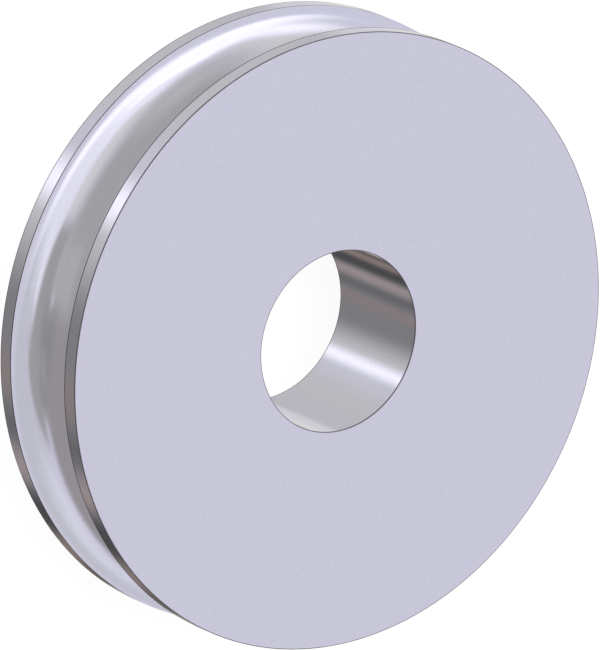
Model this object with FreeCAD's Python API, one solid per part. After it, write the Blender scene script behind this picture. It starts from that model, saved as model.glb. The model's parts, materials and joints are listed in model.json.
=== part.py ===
"""Pulley wheel for rope: one turned steel disc with a half-round groove round its rim and a plain bore.

The wheel lies on its side face. The origin is the wheel's centre, on the bore's axis and in the
groove's middle plane, and +Z runs along the bore. Lengths are in millimetres.
"""

import FreeCAD
import Part
import math
import os

# Driving sizes
RIM_DIAMETER = 102.0  # over the two lands
BORE_DIAMETER = 30.0  # plain, right through
GROOVE_RADIUS = 7.6  # half-round, with its centre on the rim, for rope of about 14 mm
LAND_WIDTH = 3.0  # flat of the rim on each side of the groove
EDGE_BREAK = 0.2  # 45 degree break on every corner that the tool leaves

# Worked out from the driving sizes
RIM_RADIUS = RIM_DIAMETER / 2
BORE_RADIUS = BORE_DIAMETER / 2
HALF_WIDTH = GROOVE_RADIUS + LAND_WIDTH


def point(radius, height):
    """A point of the half section, at that distance from the axis and that height."""
    return FreeCAD.Vector(radius, 0, height)


def groove_lip():
    """Where the groove's edge break ends on the groove's arc, as (radius, height).

    The break leaves the land EDGE_BREAK from the corner, and ends on the arc as deep below the rim.
    """
    depth = EDGE_BREAK
    return RIM_RADIUS - depth, math.sqrt(GROOVE_RADIUS**2 - depth**2)


def half_section():
    """The closed outline of the wheel's section on one side of the axis, as a face.

    It runs up the bore, out along the upper side face, down the rim with the groove in it, and back
    in along the lower side face.
    """
    lip_radius, lip_height = groove_lip()
    groove_root = point(RIM_RADIUS - GROOVE_RADIUS, 0)
    upper = [
        (BORE_RADIUS, HALF_WIDTH - EDGE_BREAK),
        (BORE_RADIUS + EDGE_BREAK, HALF_WIDTH),
        (RIM_RADIUS - EDGE_BREAK, HALF_WIDTH),
        (RIM_RADIUS, HALF_WIDTH - EDGE_BREAK),
        (RIM_RADIUS, GROOVE_RADIUS + EDGE_BREAK),
        (lip_radius, lip_height),
    ]
    corners_above = [point(radius, height) for radius, height in upper]
    corners_below = [point(radius, -height) for radius, height in reversed(upper)]

    edges = [Part.LineSegment(a, b).toShape() for a, b in zip(corners_above, corners_above[1:])]
    edges.append(Part.Arc(corners_above[-1], groove_root, corners_below[0]).toShape())
    edges += [Part.LineSegment(a, b).toShape() for a, b in zip(corners_below, corners_below[1:])]
    edges.append(Part.LineSegment(corners_below[-1], corners_above[0]).toShape())
    return Part.Face(Part.Wire(edges))


def pulley_wheel():
    """The half section turned a full circle about the bore's axis."""
    origin = FreeCAD.Vector(0, 0, 0)
    bore_axis = FreeCAD.Vector(0, 0, 1)
    wheel = half_section().revolve(origin, bore_axis, 360)
    return wheel if wheel.ShapeType == "Solid" else wheel.Solids[0]


def main():
    """Writes the wheel to parts/, one file for its one piece."""
    os.makedirs("parts", exist_ok=True)
    wheel = pulley_wheel()
    wheel.exportStep("parts/pulley_wheel.step")
    print(
        "pulley_wheel: valid", wheel.isValid(),
        "| volume", round(wheel.Volume / 1000, 2), "cm3",
        "| width", round(2 * HALF_WIDTH, 2), "mm",
        "| groove root diameter", round(2 * (RIM_RADIUS - GROOVE_RADIUS), 2), "mm",
    )


main()
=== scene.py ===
"""The finish of a turned steel pulley wheel for rope, with the studio round it and its camera.

The wheel lies on its lower side face, its centre is the origin and +Z runs along its bore. Lengths
are in metres. A direction is given by its azimuth and its elevation: azimuth 0 is the camera's side
of the wheel and 90 is +X, and elevation is the angle above the horizon.
"""

import json
import math

import bpy
import numpy as np
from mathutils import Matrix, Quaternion, Vector


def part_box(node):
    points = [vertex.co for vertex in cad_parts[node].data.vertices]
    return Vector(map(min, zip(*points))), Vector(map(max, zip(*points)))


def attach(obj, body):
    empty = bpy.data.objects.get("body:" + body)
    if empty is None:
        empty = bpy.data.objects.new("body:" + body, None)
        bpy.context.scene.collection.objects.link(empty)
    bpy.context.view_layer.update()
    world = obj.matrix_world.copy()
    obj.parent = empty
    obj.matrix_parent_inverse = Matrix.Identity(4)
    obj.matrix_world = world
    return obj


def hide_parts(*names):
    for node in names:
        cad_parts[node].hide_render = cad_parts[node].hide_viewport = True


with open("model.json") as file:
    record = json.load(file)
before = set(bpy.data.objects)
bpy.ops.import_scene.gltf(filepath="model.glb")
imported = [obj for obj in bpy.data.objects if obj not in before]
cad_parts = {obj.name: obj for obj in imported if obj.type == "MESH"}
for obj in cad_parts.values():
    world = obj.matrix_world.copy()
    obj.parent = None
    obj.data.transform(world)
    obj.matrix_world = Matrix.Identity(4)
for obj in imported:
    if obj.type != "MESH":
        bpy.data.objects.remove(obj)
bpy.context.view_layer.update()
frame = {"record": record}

bl_info = {
    "name": "Pulley wheel",
    "version": (1, 0, 0),
    "blender": (4, 5, 0),
    "location": "3D View > Sidebar > Pulley wheel",
    "description": "Finishes a turned steel pulley wheel and sets up a studio round it",
    "category": "Object",
}

BODY = "root"
WHEEL_NODE = "pulley_wheel"
MILLIMETRE = 0.001
WHITE = (1.0, 1.0, 1.0)
PAPER = (0.8, 0.8, 0.8)
# Points along each part of the section: the bore's wall, a side face, a land, the groove, a round
WALL_POINTS, FACE_POINTS, LAND_POINTS, GROOVE_POINTS, ROUND_POINTS = 8, 12, 4, 56, 6
# How much lighter and darker than its colour the mottled metal is, as a share
MOTTLING = 0.08
# How much a height counts, beside a distance from the axis, in how near a place is to a corner: the
# painted dark edge line and the rougher metal under it reach further down a land or the bore than across a
# face
HEIGHT_SHARE = 0.7
# The shares of the edge width at which the painted dark edge line and its added roughness start to fade,
# and at which they are gone
FADE_START, FADE_END = 0.8, 1.2
# How near to a flat a place is counted as on it, as a share of the edge radius
FLAT_SHARE = 0.25
# How much rougher the metal is along each corner, under the painted dark edge line, and by how much the
# turning marks change the roughness
EDGE_ROUGHNESS, MARK_ROUGHNESS = 0.5, 0.04
# Strength of the plain white light that falls on the paper from all round
FILL_LIGHT = 0.75
# How much deeper a shadow on the paper shows than the glow alone would leave it
SHADOW_DEPTH = 2.0

wheel_low, wheel_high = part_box(WHEEL_NODE)


def mount_radius(name):
    """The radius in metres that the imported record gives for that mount."""
    for mount in frame["record"]["mounts"]:
        if mount["name"] == name:
            return mount["dims"]["r_mm"] * MILLIMETRE
    raise ValueError(f"the record has no mount named {name}")


# Settings

class WheelSettings(bpy.types.PropertyGroup):
    """Sizes of the wheel's section and of its finish."""

    rim_radius: bpy.props.FloatProperty(
        name="Rim radius",
        description="From the bore's axis to the two lands",
        default=wheel_high.x,
        subtype="DISTANCE",
    )
    half_width: bpy.props.FloatProperty(
        name="Half width",
        description="From the groove's middle plane to a side face",
        default=wheel_high.z,
        subtype="DISTANCE",
    )
    bore_radius: bpy.props.FloatProperty(
        name="Bore radius",
        description="From the axis to the bore's wall",
        default=mount_radius("bore"),
        subtype="DISTANCE",
    )
    groove_radius: bpy.props.FloatProperty(
        name="Groove radius",
        description="Of the half round that the rope lies in, with its centre on the rim",
        default=mount_radius("rope_groove"),
        subtype="DISTANCE",
    )
    edge_radius: bpy.props.FloatProperty(
        name="Edge radius",
        description="Of the small round on each corner",
        default=0.05 * MILLIMETRE,
        subtype="DISTANCE",
    )
    # The near black line painted along each corner as shade, and the rougher metal, reach this far from
    # each corner
    edge_width: bpy.props.FloatProperty(
        name="Edge width",
        description="How far the dull metal reaches from each corner across a side face",
        default=0.12 * MILLIMETRE,
        subtype="DISTANCE",
    )
    segments: bpy.props.IntProperty(
        name="Segments",
        description="Flats that each circle is divided into",
        default=540,
    )
    steel: bpy.props.FloatVectorProperty(
        name="Steel",
        description="Colour of the bare metal",
        default=(0.573, 0.567, 0.698),
        subtype="COLOR",
    )
    grazing_tint: bpy.props.FloatVectorProperty(
        name="Grazing tint",
        description="Tint of what the metal shows at a grazing angle, where steel gains little",
        default=(0.80, 0.80, 0.87),
        subtype="COLOR",
    )
    # Near black colour painted along each corner as shade, standing in for dark edge lines, not a colour
    # the steel has
    painted_edge_shade: bpy.props.FloatVectorProperty(
        name="Edge steel",
        description="Colour of the dull metal along each corner",
        default=(0.04, 0.04, 0.045),
        subtype="COLOR",
    )
    face_roughness: bpy.props.FloatProperty(
        name="Face roughness",
        description="Of the two side faces",
        default=0.30,
        min=0.0,
        max=1.0,
        subtype="FACTOR",
    )
    rim_roughness: bpy.props.FloatProperty(
        name="Rim roughness",
        description="Of the lands, the groove and the bore, which are polished",
        default=0.12,
        min=0.0,
        max=1.0,
        subtype="FACTOR",
    )
    mark_pitch: bpy.props.FloatProperty(
        name="Mark pitch",
        description="Distance from one turning mark to the next",
        default=0.35 * MILLIMETRE,
        subtype="DISTANCE",
    )
    mark_depth: bpy.props.FloatProperty(
        name="Mark depth",
        description="Depth of the turning marks",
        default=0.0006 * MILLIMETRE,
        subtype="DISTANCE",
    )
    grain_size: bpy.props.FloatProperty(
        name="Grain size",
        description="Across the fine mottling of the metal",
        default=0.30 * MILLIMETRE,
        subtype="DISTANCE",
    )


class StudioSettings(bpy.types.PropertyGroup):
    """The camera, the floor and the light."""

    elevation: bpy.props.FloatProperty(
        name="Elevation",
        description="Of the camera above the horizon",
        default=math.radians(52.06),
        subtype="ANGLE",
    )
    roll: bpy.props.FloatProperty(
        name="Roll",
        description="Turn of the camera about its line of sight, from upright",
        default=math.radians(112.9),
        subtype="ANGLE",
    )
    lens: bpy.props.FloatProperty(
        name="Lens",
        description="Focal length, long enough to make the view nearly parallel",
        default=1500.0,
        unit="CAMERA",
    )
    picture_height: bpy.props.FloatProperty(
        name="Picture height",
        description="What the picture spans from top to bottom at the wheel's centre",
        default=104.34 * MILLIMETRE,
        subtype="DISTANCE",
    )
    aim: bpy.props.FloatProperty(
        name="Aim",
        description="How far in front of the wheel's centre the camera aims, as the near half looks larger",
        default=0.22 * MILLIMETRE,
        subtype="DISTANCE",
    )
    floor_size: bpy.props.FloatProperty(
        name="Floor size",
        description="Length of the floor's sides",
        default=6.0,
        subtype="DISTANCE",
    )
    floor_glow: bpy.props.FloatProperty(
        name="Floor glow",
        description="Share of the floor's white that no shadow takes away",
        default=0.88,
        min=0.0,
        max=1.0,
        subtype="FACTOR",
    )
    lamp_azimuth: bpy.props.FloatProperty(
        name="Lamp azimuth",
        description="Direction of the lamp, from the camera's side round towards +X",
        default=math.radians(-125),
        subtype="ANGLE",
    )
    lamp_elevation: bpy.props.FloatProperty(
        name="Lamp elevation",
        description="Of the lamp above the horizon",
        default=math.radians(68),
        subtype="ANGLE",
    )
    lamp_distance: bpy.props.FloatProperty(
        name="Lamp distance",
        description="From the wheel's centre to the lamp",
        default=1.2,
        subtype="DISTANCE",
    )
    lamp_size: bpy.props.FloatProperty(
        name="Lamp size",
        description="Across the round lamp",
        default=0.9,
        subtype="DISTANCE",
    )
    lamp_power: bpy.props.FloatProperty(
        name="Lamp power",
        description="Light that the lamp gives",
        default=6.0,
        unit="POWER",
    )


# Shapes

def straight(start, end, count):
    """Points spaced evenly from start to end, both (radius, height), with the end left out.

    The normal is the run turned a quarter turn to the left, away from the metal.
    """
    start, end = np.array(start), np.array(end)
    along = np.linspace(0, 1, count, endpoint=False)[:, None]
    run = (end - start) / np.linalg.norm(end - start)
    normal = np.array([-run[1], run[0]])
    return start + along * (end - start), np.tile(normal, (count, 1))


def arc(centre, radius, start, end, count, hollow=False):
    """Points at the radius round the centre, at angles spaced evenly from start to end, end left out.

    The normal points away from the centre, or towards it on a hollow arc.
    """
    angle = np.linspace(start, end, count, endpoint=False)
    spoke = np.stack([np.cos(angle), np.sin(angle)], axis=1)
    return np.array(centre) + radius * spoke, -spoke if hollow else spoke


def lip_height(size):
    """How high above the groove's middle plane the land ends, where a small round starts.

    The round touches the land and the groove, so its centre is one edge radius inside the rim and
    the two radii added from the groove's centre, and this is the height of that centre.
    """
    return math.sqrt((size.groove_radius + size.edge_radius) ** 2 - size.edge_radius**2)


def wheel_section(size):
    """The closed outline of the wheel's section as (radius, height) points, with a normal at each.

    It runs up the bore, out along the upper side face, down the rim through the groove, and back in
    along the lower side face. A small round joins each two of them, and touches both.
    """
    rim, bore, groove = size.rim_radius, size.bore_radius, size.groove_radius
    top, edge = size.half_width, size.edge_radius
    quarter, half_turn = math.pi / 2, math.pi
    lip = lip_height(size)
    lip_turn = math.atan2(lip, edge)
    runs = [
        straight((bore, edge - top), (bore, top - edge), WALL_POINTS),
        arc((bore + edge, top - edge), edge, half_turn, quarter, ROUND_POINTS),
        straight((bore + edge, top), (rim - edge, top), FACE_POINTS),
        arc((rim - edge, top - edge), edge, quarter, 0, ROUND_POINTS),
        straight((rim, top - edge), (rim, lip), LAND_POINTS),
        arc((rim - edge, lip), edge, 0, -lip_turn, ROUND_POINTS),
        arc((rim, 0), groove, half_turn - lip_turn, half_turn + lip_turn, GROOVE_POINTS, hollow=True),
        arc((rim - edge, -lip), edge, lip_turn, 0, ROUND_POINTS),
        straight((rim, -lip), (rim, edge - top), LAND_POINTS),
        arc((rim - edge, edge - top), edge, 0, -quarter, ROUND_POINTS),
        straight((rim - edge, -top), (bore + edge, -top), FACE_POINTS),
        arc((bore + edge, edge - top), edge, -quarter, -half_turn, ROUND_POINTS),
    ]
    points = np.concatenate([run[0] for run in runs])
    normals = np.concatenate([run[1] for run in runs])
    return points, normals


def turned(section, segments):
    """Vertices at (radius cos t, radius sin t, height) for t evenly round the circle, one row for each t.

    Section holds (radius, height) pairs. It turns normals too, because they have the same form.
    """
    t = np.linspace(0, 2 * math.pi, segments, endpoint=False)[:, None]
    radius, height = section[:, 0], section[:, 1]
    rows = [radius * np.cos(t), radius * np.sin(t), np.broadcast_to(height, (segments, len(height)))]
    return np.stack(rows, axis=-1).reshape(-1, 3)


def closed_grid(rows, columns):
    """The four corners of each face of a grid that closes on itself both ways."""
    row, column = np.meshgrid(np.arange(rows), np.arange(columns), indexing="ij")
    next_row, next_column = (row + 1) % rows, (column + 1) % columns
    corners = [
        row * columns + column,
        row * columns + next_column,
        next_row * columns + next_column,
        next_row * columns + column,
    ]
    return np.stack(corners, axis=-1).reshape(-1, 4)


def new_object(name, vertices, faces, material):
    """A smooth-shaded object of that name and material, linked into the scene."""
    mesh = bpy.data.meshes.new(name)
    mesh.from_pydata(vertices.tolist(), [], faces.tolist())
    mesh.shade_smooth()
    mesh.materials.append(material)
    made = bpy.data.objects.new(name, mesh)
    bpy.context.scene.collection.objects.link(made)
    return made


# Materials

class Nodes:
    """A short way to add linked nodes to a node tree."""

    def __init__(self, tree):
        self.tree = tree
        tree.nodes.clear()

    def fill(self, socket, value):
        """Gives a socket a value, or links another node's output to it."""
        if isinstance(value, bpy.types.NodeSocket):
            self.tree.links.new(value, socket)
        else:
            socket.default_value = value

    def add(self, kind, inputs=(), output=0, **settings):
        """Adds a node, sets its settings and its inputs, and returns the asked output if it has any.

        inputs maps a socket's name or number to a value, or to another node's output.
        """
        node = self.tree.nodes.new(kind)
        for name, value in settings.items():
            setattr(node, name, value)
        for socket, value in dict(inputs).items():
            self.fill(node.inputs[socket], value)
        return node.outputs[output] if node.outputs else None

    def math(self, operation, *values):
        """A math node on one to three values."""
        return self.add("ShaderNodeMath", enumerate(values), operation=operation)

    def vector(self, operation, *values, output="Vector"):
        """A vector math node on one or two vectors."""
        return self.add("ShaderNodeVectorMath", enumerate(values), output, operation=operation)

    def ramp(self, value, low, high, low_result=0.0, high_result=1.0):
        """Goes smoothly from one result to the other while the value goes from low to high."""
        inputs = {0: value, 1: low, 2: high, 3: low_result, 4: high_result}
        return self.add("ShaderNodeMapRange", inputs, interpolation_type="SMOOTHSTEP")

    def mix(self, share, first, second):
        """first where the share is 0 and second where it is 1, both colours."""
        inputs = {"Factor": share, "A": first, "B": second}
        node = self.tree.nodes.new("ShaderNodeMix")
        node.data_type = "RGBA"
        for socket in node.inputs:
            if socket.enabled and socket.name in inputs:
                self.fill(socket, inputs[socket.name])
        return next(socket for socket in node.outputs if socket.enabled)


def rgba(colour):
    """The colour with full opacity."""
    return (*colour, 1.0)


def turned_steel(size):
    """Bare turned steel: satin side faces, polished elsewhere, with fine marks round the axis, and a near
    black line painted along each corner as shade.

    Everything is worked out from the place on the section, which is the distance from the axis and
    the height above or below the groove's middle plane.
    """
    material = bpy.data.materials.new("turned_steel")
    material.use_nodes = True
    nodes = Nodes(material.node_tree)
    place = nodes.add("ShaderNodeTexCoord", output="Object")
    split = nodes.add("ShaderNodeSeparateXYZ", {0: place}, output="Z")
    height = nodes.math("ABSOLUTE", split)
    radius = nodes.vector("LENGTH", nodes.vector("MULTIPLY", place, (1, 1, 0)), output="Value")
    counted = nodes.math("MULTIPLY", height, HEIGHT_SHARE)
    on_section = nodes.add("ShaderNodeCombineXYZ", {0: radius, 1: counted})

    # The corners of the section, and how near the place is to the nearest
    corners = [
        (size.bore_radius, size.half_width * HEIGHT_SHARE, 0),
        (size.rim_radius, size.half_width * HEIGHT_SHARE, 0),
        (size.rim_radius, lip_height(size) * HEIGHT_SHARE, 0),
    ]
    gaps = [nodes.vector("DISTANCE", on_section, corner, output="Value") for corner in corners]
    gap = nodes.math("MINIMUM", nodes.math("MINIMUM", gaps[0], gaps[1]), gaps[2])
    fade_start, fade_end = FADE_START * size.edge_width, FADE_END * size.edge_width
    near_corner = nodes.ramp(gap, fade_start, fade_end, 1.0, 0.0)

    # The dark edge line is painted as shade, and the roughness raised, only on the flats beside each corner
    # and not on the rounds
    step = FLAT_SHARE * size.edge_radius
    on_face = nodes.ramp(height, size.half_width - step, size.half_width)
    on_land = nodes.ramp(radius, size.rim_radius - step, size.rim_radius)
    on_wall = nodes.ramp(radius, size.bore_radius, size.bore_radius + step, 1.0, 0.0)
    on_flat = nodes.math("MAXIMUM", nodes.math("MAXIMUM", on_face, on_land), on_wall)
    painted_edge_mask = nodes.math("MULTIPLY", near_corner, on_flat)

    # Faint fine mottling in the metal
    grain = nodes.add(
        "ShaderNodeTexNoise",
        {"Vector": place, "Scale": 1 / size.grain_size, "Detail": 1.0, "Roughness": 0.6},
    )
    lighter = [channel * (1 + MOTTLING) for channel in size.steel]
    darker = [channel * (1 - MOTTLING) for channel in size.steel]
    metal = nodes.mix(grain, rgba(darker), rgba(lighter))
    # A near black line is painted along each corner: painted shade standing in for dark edge lines
    colour = nodes.mix(painted_edge_mask, metal, rgba(size.painted_edge_shade))

    # Marks left by the tool, which change only across the section
    along = nodes.math("DIVIDE", nodes.math("ADD", radius, height), size.mark_pitch)
    marks = nodes.add(
        "ShaderNodeTexNoise",
        {"W": along, "Scale": 1.0, "Detail": 2.0},
        noise_dimensions="1D",
    )
    bump = nodes.add(
        "ShaderNodeBump",
        {"Height": marks, "Strength": 1.0, "Distance": size.mark_depth},
    )
    finish = nodes.ramp(on_face, 0.0, 1.0, size.rim_roughness, size.face_roughness)
    smoothest = nodes.math("SUBTRACT", finish, MARK_ROUGHNESS / 2)
    marked = nodes.math("MULTIPLY_ADD", marks, MARK_ROUGHNESS, smoothest)
    dulled = nodes.math("MULTIPLY_ADD", painted_edge_mask, EDGE_ROUGHNESS, marked)

    surface = nodes.add(
        "ShaderNodeBsdfPrincipled",
        {
            "Base Color": colour,
            "Metallic": 1.0,
            "Roughness": dulled,
            "Specular Tint": rgba(size.grazing_tint),
            "Normal": bump,
        },
    )
    nodes.add("ShaderNodeOutputMaterial", {"Surface": surface})
    return material


def looked_at(nodes):
    """1 for a ray that shows what it meets, straight, off metal or through glass, and 0 for the rest."""
    rays = nodes.tree.nodes.new("ShaderNodeLightPath").outputs
    straight_or_through = nodes.math("MAXIMUM", rays["Is Camera Ray"], rays["Is Transmission Ray"])
    return nodes.math("MAXIMUM", straight_or_through, rays["Is Glossy Ray"])


def white_paper(studio):
    """White paper: what is seen of it is mostly its glow, and a soft share of light and shadow."""
    material = bpy.data.materials.new("white_paper")
    material.use_nodes = True
    nodes = Nodes(material.node_tree)
    lit = nodes.add("ShaderNodeBsdfDiffuse", {"Color": rgba(PAPER)})
    share = SHADOW_DEPTH * (1 - studio.floor_glow)
    shaded = nodes.add("ShaderNodeBsdfDiffuse", {"Color": rgba([share * level for level in PAPER])})
    glow = nodes.add("ShaderNodeEmission", {"Color": rgba(WHITE), "Strength": studio.floor_glow})
    paper = nodes.add("ShaderNodeAddShader", {0: shaded, 1: glow})
    surface = nodes.add("ShaderNodeMixShader", {0: looked_at(nodes), 1: lit, 2: paper})
    nodes.add("ShaderNodeOutputMaterial", {"Surface": surface})
    return material


# The studio

def toward(azimuth, elevation):
    """The unit vector of a direction, from its azimuth and its elevation in radians."""
    level = math.cos(elevation)
    return Vector((level * math.sin(azimuth), -level * math.cos(azimuth), math.sin(elevation)))


# Tints of the lights, the walls and the cards, which multiply their levels
LIGHT, WALL, WARM = (1.0, 1.0, 0.95), (1.0, 1.0, 0.87), (1.0, 0.95, 0.83)
BROWN, RUST = (1.0, 0.85, 0.7), (1.0, 0.8, 0.6)
# A width of more than a full turn, in degrees, so that no border shows
ALL_ROUND = 400
# The elevation of the middle and the height of what stands below the horizon, in degrees
LOW, TALL = -50, 40
# What stands round the wheel in the white room, where a later one covers an earlier one. Each has a
# name, the azimuth and the elevation of its middle, its width, its height and the width of its soft
# border, all in degrees, its level, where white is 1, and its tint.
BOXES_AND_CARDS = [
    ("ceiling", 0, 90, ALL_ROUND, 46, 12, 1.28, LIGHT),
    ("far overhead box", -160, 70, 34, 11, 9, 1.75, LIGHT),
    ("overhead glow", -95, 65, 90, 24, 20, 1.4, LIGHT),
    ("overhead box", -118, 63, 60, 22, 10, 1.8, LIGHT),
    ("side wall", -105, 22, 40, 50, 20, 0.98, WALL),
    ("left box", -115, 50, 20, 35, 20, 1.7, LIGHT),
    ("upper left wall", -35, 55, 60, 22, 15, 1.02, WALL),
    ("front wall", -8, 2, 146, 86, 30, 0.6, WALL),
    ("left wall", -63, 30, 40, 30, 30, 0.75, WALL),
    ("right ceiling", 117, 66, 110, 36, 15, 0.88, LIGHT),
    ("high right wall", 41, 56, 85, 30, 10, 0.55, WALL),
    ("near ceiling glow", -2, 75, 24, 10, 10, 1.22, LIGHT),
    ("right wall", 80, 1, 100, 68, 12, 0.5, WARM),
    ("right window", 122, 49, 46, 15, 20, 1.13, LIGHT),
    ("pale panel", 15, 20, 20, 50, 10, 0.68, WALL),
    ("dark panel", 40, 35, 20, 30, 20, 0.43, WALL),
    ("small dark panel", 62, 40, 15, 15, 10, 0.45, WALL),
    ("small lamp", 26, 36, 4, 8, 6, 0.9, LIGHT),
    ("low left wall", -50, LOW, 180, TALL, 20, 0.86, WALL),
    ("low far box", -145, LOW, 40, TALL, 10, 1.1, WALL),
    ("low right wall", 92, LOW, 156, TALL, 40, 0.33, WALL),
    ("strip glow", -30, LOW, 30, TALL, 30, 0.93, LIGHT),
    ("strip box", -15, LOW, 15, TALL, 15, 1.65, LIGHT),
    ("low brown panel", 60, LOW, 15, TALL, 15, 0.4, BROWN),
    ("dark card", 80, LOW, 15, TALL, 15, 0.22, WALL),
    ("brown card", 98, LOW, 15, TALL, 15, 0.55, BROWN),
    ("black card", 120, LOW, 25, TALL, 15, 0.11, WALL),
    ("second brown card", 140, LOW, 20, TALL, 15, 0.4, RUST),
    ("second dark card", 156, LOW, 20, TALL, 10, 0.2, BROWN),
    ("end card", 180, LOW, 30, TALL, 10, 0.6, WALL),
]


def span(nodes, angle, middle, size, border):
    """How far an angle is inside a span: 1 between its soft borders, falling smoothly to 0 outside."""
    middle, size, border = math.radians(middle), math.radians(size), math.radians(border)
    offset = nodes.math("WRAP", nodes.math("SUBTRACT", angle, middle), math.pi, -math.pi)
    away = nodes.math("ABSOLUTE", offset)
    return nodes.ramp(away, (size - border) / 2, (size + border) / 2, 1.0, 0.0)


def white_room():
    """The world: white all round, where metal also shows the soft boxes and the dark cards.

    The colour is read by the direction's azimuth and elevation. Camera rays and transmission rays
    show plain white, and the rest of the light is a plain white of the studio's fill.
    """
    world = bpy.data.worlds.new("white_room")
    bpy.context.scene.world = world
    world.use_nodes = True
    world.cycles.sampling_method = "NONE"
    nodes = Nodes(world.node_tree)
    place = nodes.add("ShaderNodeTexCoord", output="Generated")
    split = nodes.tree.nodes.new("ShaderNodeSeparateXYZ")
    nodes.fill(split.inputs[0], nodes.vector("NORMALIZE", place))
    right, away, up = split.outputs
    azimuth = nodes.math("ARCTAN2", right, nodes.math("MULTIPLY", away, -1.0))
    elevation = nodes.math("ARCSINE", up)
    colour = rgba(WHITE)
    for _, middle, height, width, tall, border, level, tint in BOXES_AND_CARDS:
        across = span(nodes, azimuth, middle, width, border)
        upright = span(nodes, elevation, height, tall, border)
        box_colour = rgba([level * share for share in tint])
        colour = nodes.mix(nodes.math("MULTIPLY", across, upright), colour, box_colour)
    rays = nodes.tree.nodes.new("ShaderNodeLightPath")
    seen = nodes.mix(rays.outputs["Is Glossy Ray"], rgba(WHITE), colour)
    strength = nodes.math("MAXIMUM", looked_at(nodes), FILL_LIGHT)
    shown = nodes.add("ShaderNodeBackground", {"Color": seen, "Strength": strength})
    nodes.add("ShaderNodeOutputWorld", {"Surface": shown})


def make_floor(studio):
    """A square of white paper under the wheel's lower side face.

    Reflections pass through it to the room, so that the rim and the bore show soft light and dark.
    """
    half = studio.floor_size / 2
    corners = np.array([(-half, -half, 0), (half, -half, 0), (half, half, 0), (-half, half, 0)])
    corners[:, 2] = wheel_low.z
    floor = new_object("floor", corners, np.array([[0, 1, 2, 3]]), white_paper(studio))
    floor.visible_glossy = False


def make_camera(studio):
    """A camera with a long lens, aimed at the wheel's centre from above, and rolled."""
    camera = bpy.data.objects.new("camera", bpy.data.cameras.new("camera"))
    bpy.context.scene.collection.objects.link(camera)
    camera.data.lens = studio.lens
    # The picture is taller than it is wide, so the sensor's width lies along its height
    sensor_height = camera.data.sensor_width
    distance = studio.lens / sensor_height * studio.picture_height
    back = toward(0, studio.elevation)
    camera.location = toward(0, 0) * studio.aim + back * distance
    camera.rotation_mode = "QUATERNION"
    upright = (-back).to_track_quat("-Z", "Y")
    camera.rotation_quaternion = upright @ Quaternion((0, 0, 1), studio.roll)
    camera.data.clip_end = 2 * distance
    bpy.context.scene.camera = camera


def make_lamp(studio):
    """A broad soft lamp overhead, which gives the wheel its shadow on the floor."""
    lamp = bpy.data.objects.new("overhead_lamp", bpy.data.lights.new("overhead_lamp", "AREA"))
    bpy.context.scene.collection.objects.link(lamp)
    lamp.data.shape = "DISK"
    lamp.data.size = studio.lamp_size
    lamp.data.energy = studio.lamp_power
    reach = toward(studio.lamp_azimuth, studio.lamp_elevation)
    lamp.location = reach * studio.lamp_distance
    lamp.rotation_mode = "QUATERNION"
    lamp.rotation_quaternion = (-reach).to_track_quat("-Z", "Y")
    lamp.visible_glossy = False


# Operators

class PULLEY_OT_wheel(bpy.types.Operator):
    """Turn the wheel's section round the axis and give it its steel"""

    bl_idname = "pulley.wheel"
    bl_label = "Make the wheel"

    def execute(self, context):
        size = context.scene.pulley_wheel
        points, normals = wheel_section(size)
        vertices = turned(points, size.segments)
        faces = closed_grid(size.segments, len(points))
        wheel = new_object("turned_wheel", vertices, faces, turned_steel(size))
        wheel.data.normals_split_custom_set_from_vertices(turned(normals, size.segments).tolist())
        wheel.visible_glossy = False
        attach(wheel, BODY)
        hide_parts(WHEEL_NODE)
        return {"FINISHED"}


class PULLEY_OT_stage(bpy.types.Operator):
    """Make the floor, the light and the camera"""

    bl_idname = "pulley.stage"
    bl_label = "Make the stage"

    def execute(self, context):
        studio = context.scene.pulley_studio
        white_room()
        make_floor(studio)
        make_lamp(studio)
        make_camera(studio)
        context.scene.view_settings.view_transform = "Standard"
        return {"FINISHED"}


class PULLEY_PT_sidebar(bpy.types.Panel):
    """The wheel's sizes, its finish and its studio"""

    bl_idname = "PULLEY_PT_sidebar"
    bl_label = "Pulley wheel"
    bl_space_type = "VIEW_3D"
    bl_region_type = "UI"
    bl_category = "Pulley wheel"

    def draw(self, context):
        groups = [
            (PULLEY_OT_wheel, context.scene.pulley_wheel),
            (PULLEY_OT_stage, context.scene.pulley_studio),
        ]
        for operator, settings in groups:
            box = self.layout.box()
            for name in settings.__annotations__:
                box.prop(settings, name)
            box.operator(operator.bl_idname)


CLASSES = (WheelSettings, StudioSettings, PULLEY_OT_wheel, PULLEY_OT_stage, PULLEY_PT_sidebar)


def register():
    """Adds the classes, and the settings to the scene."""
    for made in CLASSES:
        bpy.utils.register_class(made)
    bpy.types.Scene.pulley_wheel = bpy.props.PointerProperty(type=WheelSettings)
    bpy.types.Scene.pulley_studio = bpy.props.PointerProperty(type=StudioSettings)


def unregister():
    """Takes the settings and the classes away again."""
    del bpy.types.Scene.pulley_studio
    del bpy.types.Scene.pulley_wheel
    for made in reversed(CLASSES):
        bpy.utils.unregister_class(made)


def main():
    """Makes the wheel and its stage."""
    register()
    bpy.ops.pulley.wheel()
    bpy.ops.pulley.stage()


if __name__ == "__main__":
    main()
